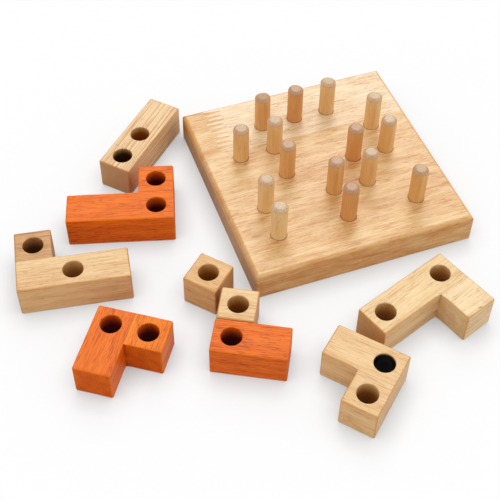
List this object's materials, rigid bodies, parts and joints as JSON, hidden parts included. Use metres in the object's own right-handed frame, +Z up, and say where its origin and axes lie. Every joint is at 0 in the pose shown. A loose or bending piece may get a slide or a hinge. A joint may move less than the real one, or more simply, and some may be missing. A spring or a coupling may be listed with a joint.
{
  "type": "peg board block puzzle",
  "caption": "Nearly square wooden board with rounded edges and upright dowel pegs, and loose bars, hooks, corners and cubes of square wood with through bores that push down onto the pegs.",
  "frame": {"origin": "centre of the board's underside, on the table", "axes": "+X along the rows of pegs from left to right, +Y from the front row to the back row, +Z up"},
  "size_m": [0.2751, 0.2743, 0.0462],
  "materials": {
    "rubberwood": "clear lacquered, edge-glued and finger-jointed",
    "rubberwood_dark": "clear lacquered, a slightly darker stave",
    "dowel": "sanded dowel with rounded tip",
    "dowel_dark": "sanded dowel of darker wood, rounded tip",
    "natural_block": "sanded, clear finish",
    "natural_block_brown": "sanded, clear finish, browner wood",
    "orange_stain": "orange stain, the grain showing through"
  },
  "bodies": {
    "board": {"board_back_stave_left": "rubberwood_dark", "board_back_stave_right": "rubberwood", "board_second_stave": "rubberwood", "board_third_stave": "rubberwood_dark", "board_front_stave": "rubberwood", "peg_A1": "dowel", "peg_A2": "dowel_dark", "peg_A3": "dowel", "peg_B0": "dowel", "peg_B1": "dowel", "peg_B4": "dowel", "peg_C1": "dowel", "peg_C3": "dowel_dark", "peg_C4": "dowel", "peg_D0": "dowel", "peg_D2": "dowel", "peg_D3": "dowel", "peg_E0": "dowel", "peg_E2": "dowel_dark", "peg_E4": "dowel"},
    "natural_bar": {"natural_bar": "natural_block"},
    "orange_hook": {"orange_hook_bar": "orange_stain", "orange_hook_cube": "orange_stain"},
    "natural_hook": {"natural_hook_bar": "natural_block", "natural_hook_cube": "natural_block_brown"},
    "orange_corner": {"orange_corner_bar": "orange_stain", "orange_corner_cube": "orange_stain"},
    "natural_cube_1": {"natural_cube_1": "natural_block"},
    "natural_cube_2": {"natural_cube_2": "natural_block"},
    "orange_pair": {"orange_pair": "orange_stain"},
    "natural_crook": {"natural_crook_bar": "natural_block", "natural_crook_cube": "natural_block"},
    "natural_corner": {"natural_corner_bar": "natural_block", "natural_corner_cube": "natural_block"}
  },
  "joints": [
    {"name": "natural_bar_lift", "type": "slide", "parent": "board", "child": "natural_bar", "axis": [0, 0, 1], "range_m": [0, 0.05]},
    {"name": "orange_hook_lift", "type": "slide", "parent": "board", "child": "orange_hook", "axis": [0, 0, 1], "range_m": [0, 0.05]},
    {"name": "natural_hook_lift", "type": "slide", "parent": "board", "child": "natural_hook", "axis": [0, 0, 1], "range_m": [0, 0.05]},
    {"name": "orange_corner_lift", "type": "slide", "parent": "board", "child": "orange_corner", "axis": [0, 0, 1], "range_m": [0, 0.05]},
    {"name": "natural_cube_1_lift", "type": "slide", "parent": "board", "child": "natural_cube_1", "axis": [0, 0, 1], "range_m": [0, 0.05]},
    {"name": "natural_cube_2_lift", "type": "slide", "parent": "board", "child": "natural_cube_2", "axis": [0, 0, 1], "range_m": [0, 0.05]},
    {"name": "orange_pair_lift", "type": "slide", "parent": "board", "child": "orange_pair", "axis": [0, 0, 1], "range_m": [0, 0.05]},
    {"name": "natural_crook_lift", "type": "slide", "parent": "board", "child": "natural_crook", "axis": [0, 0, 1], "range_m": [0, 0.05]},
    {"name": "natural_corner_lift", "type": "slide", "parent": "board", "child": "natural_corner", "axis": [0, 0, 1], "range_m": [0, 0.05]}
  ]
}
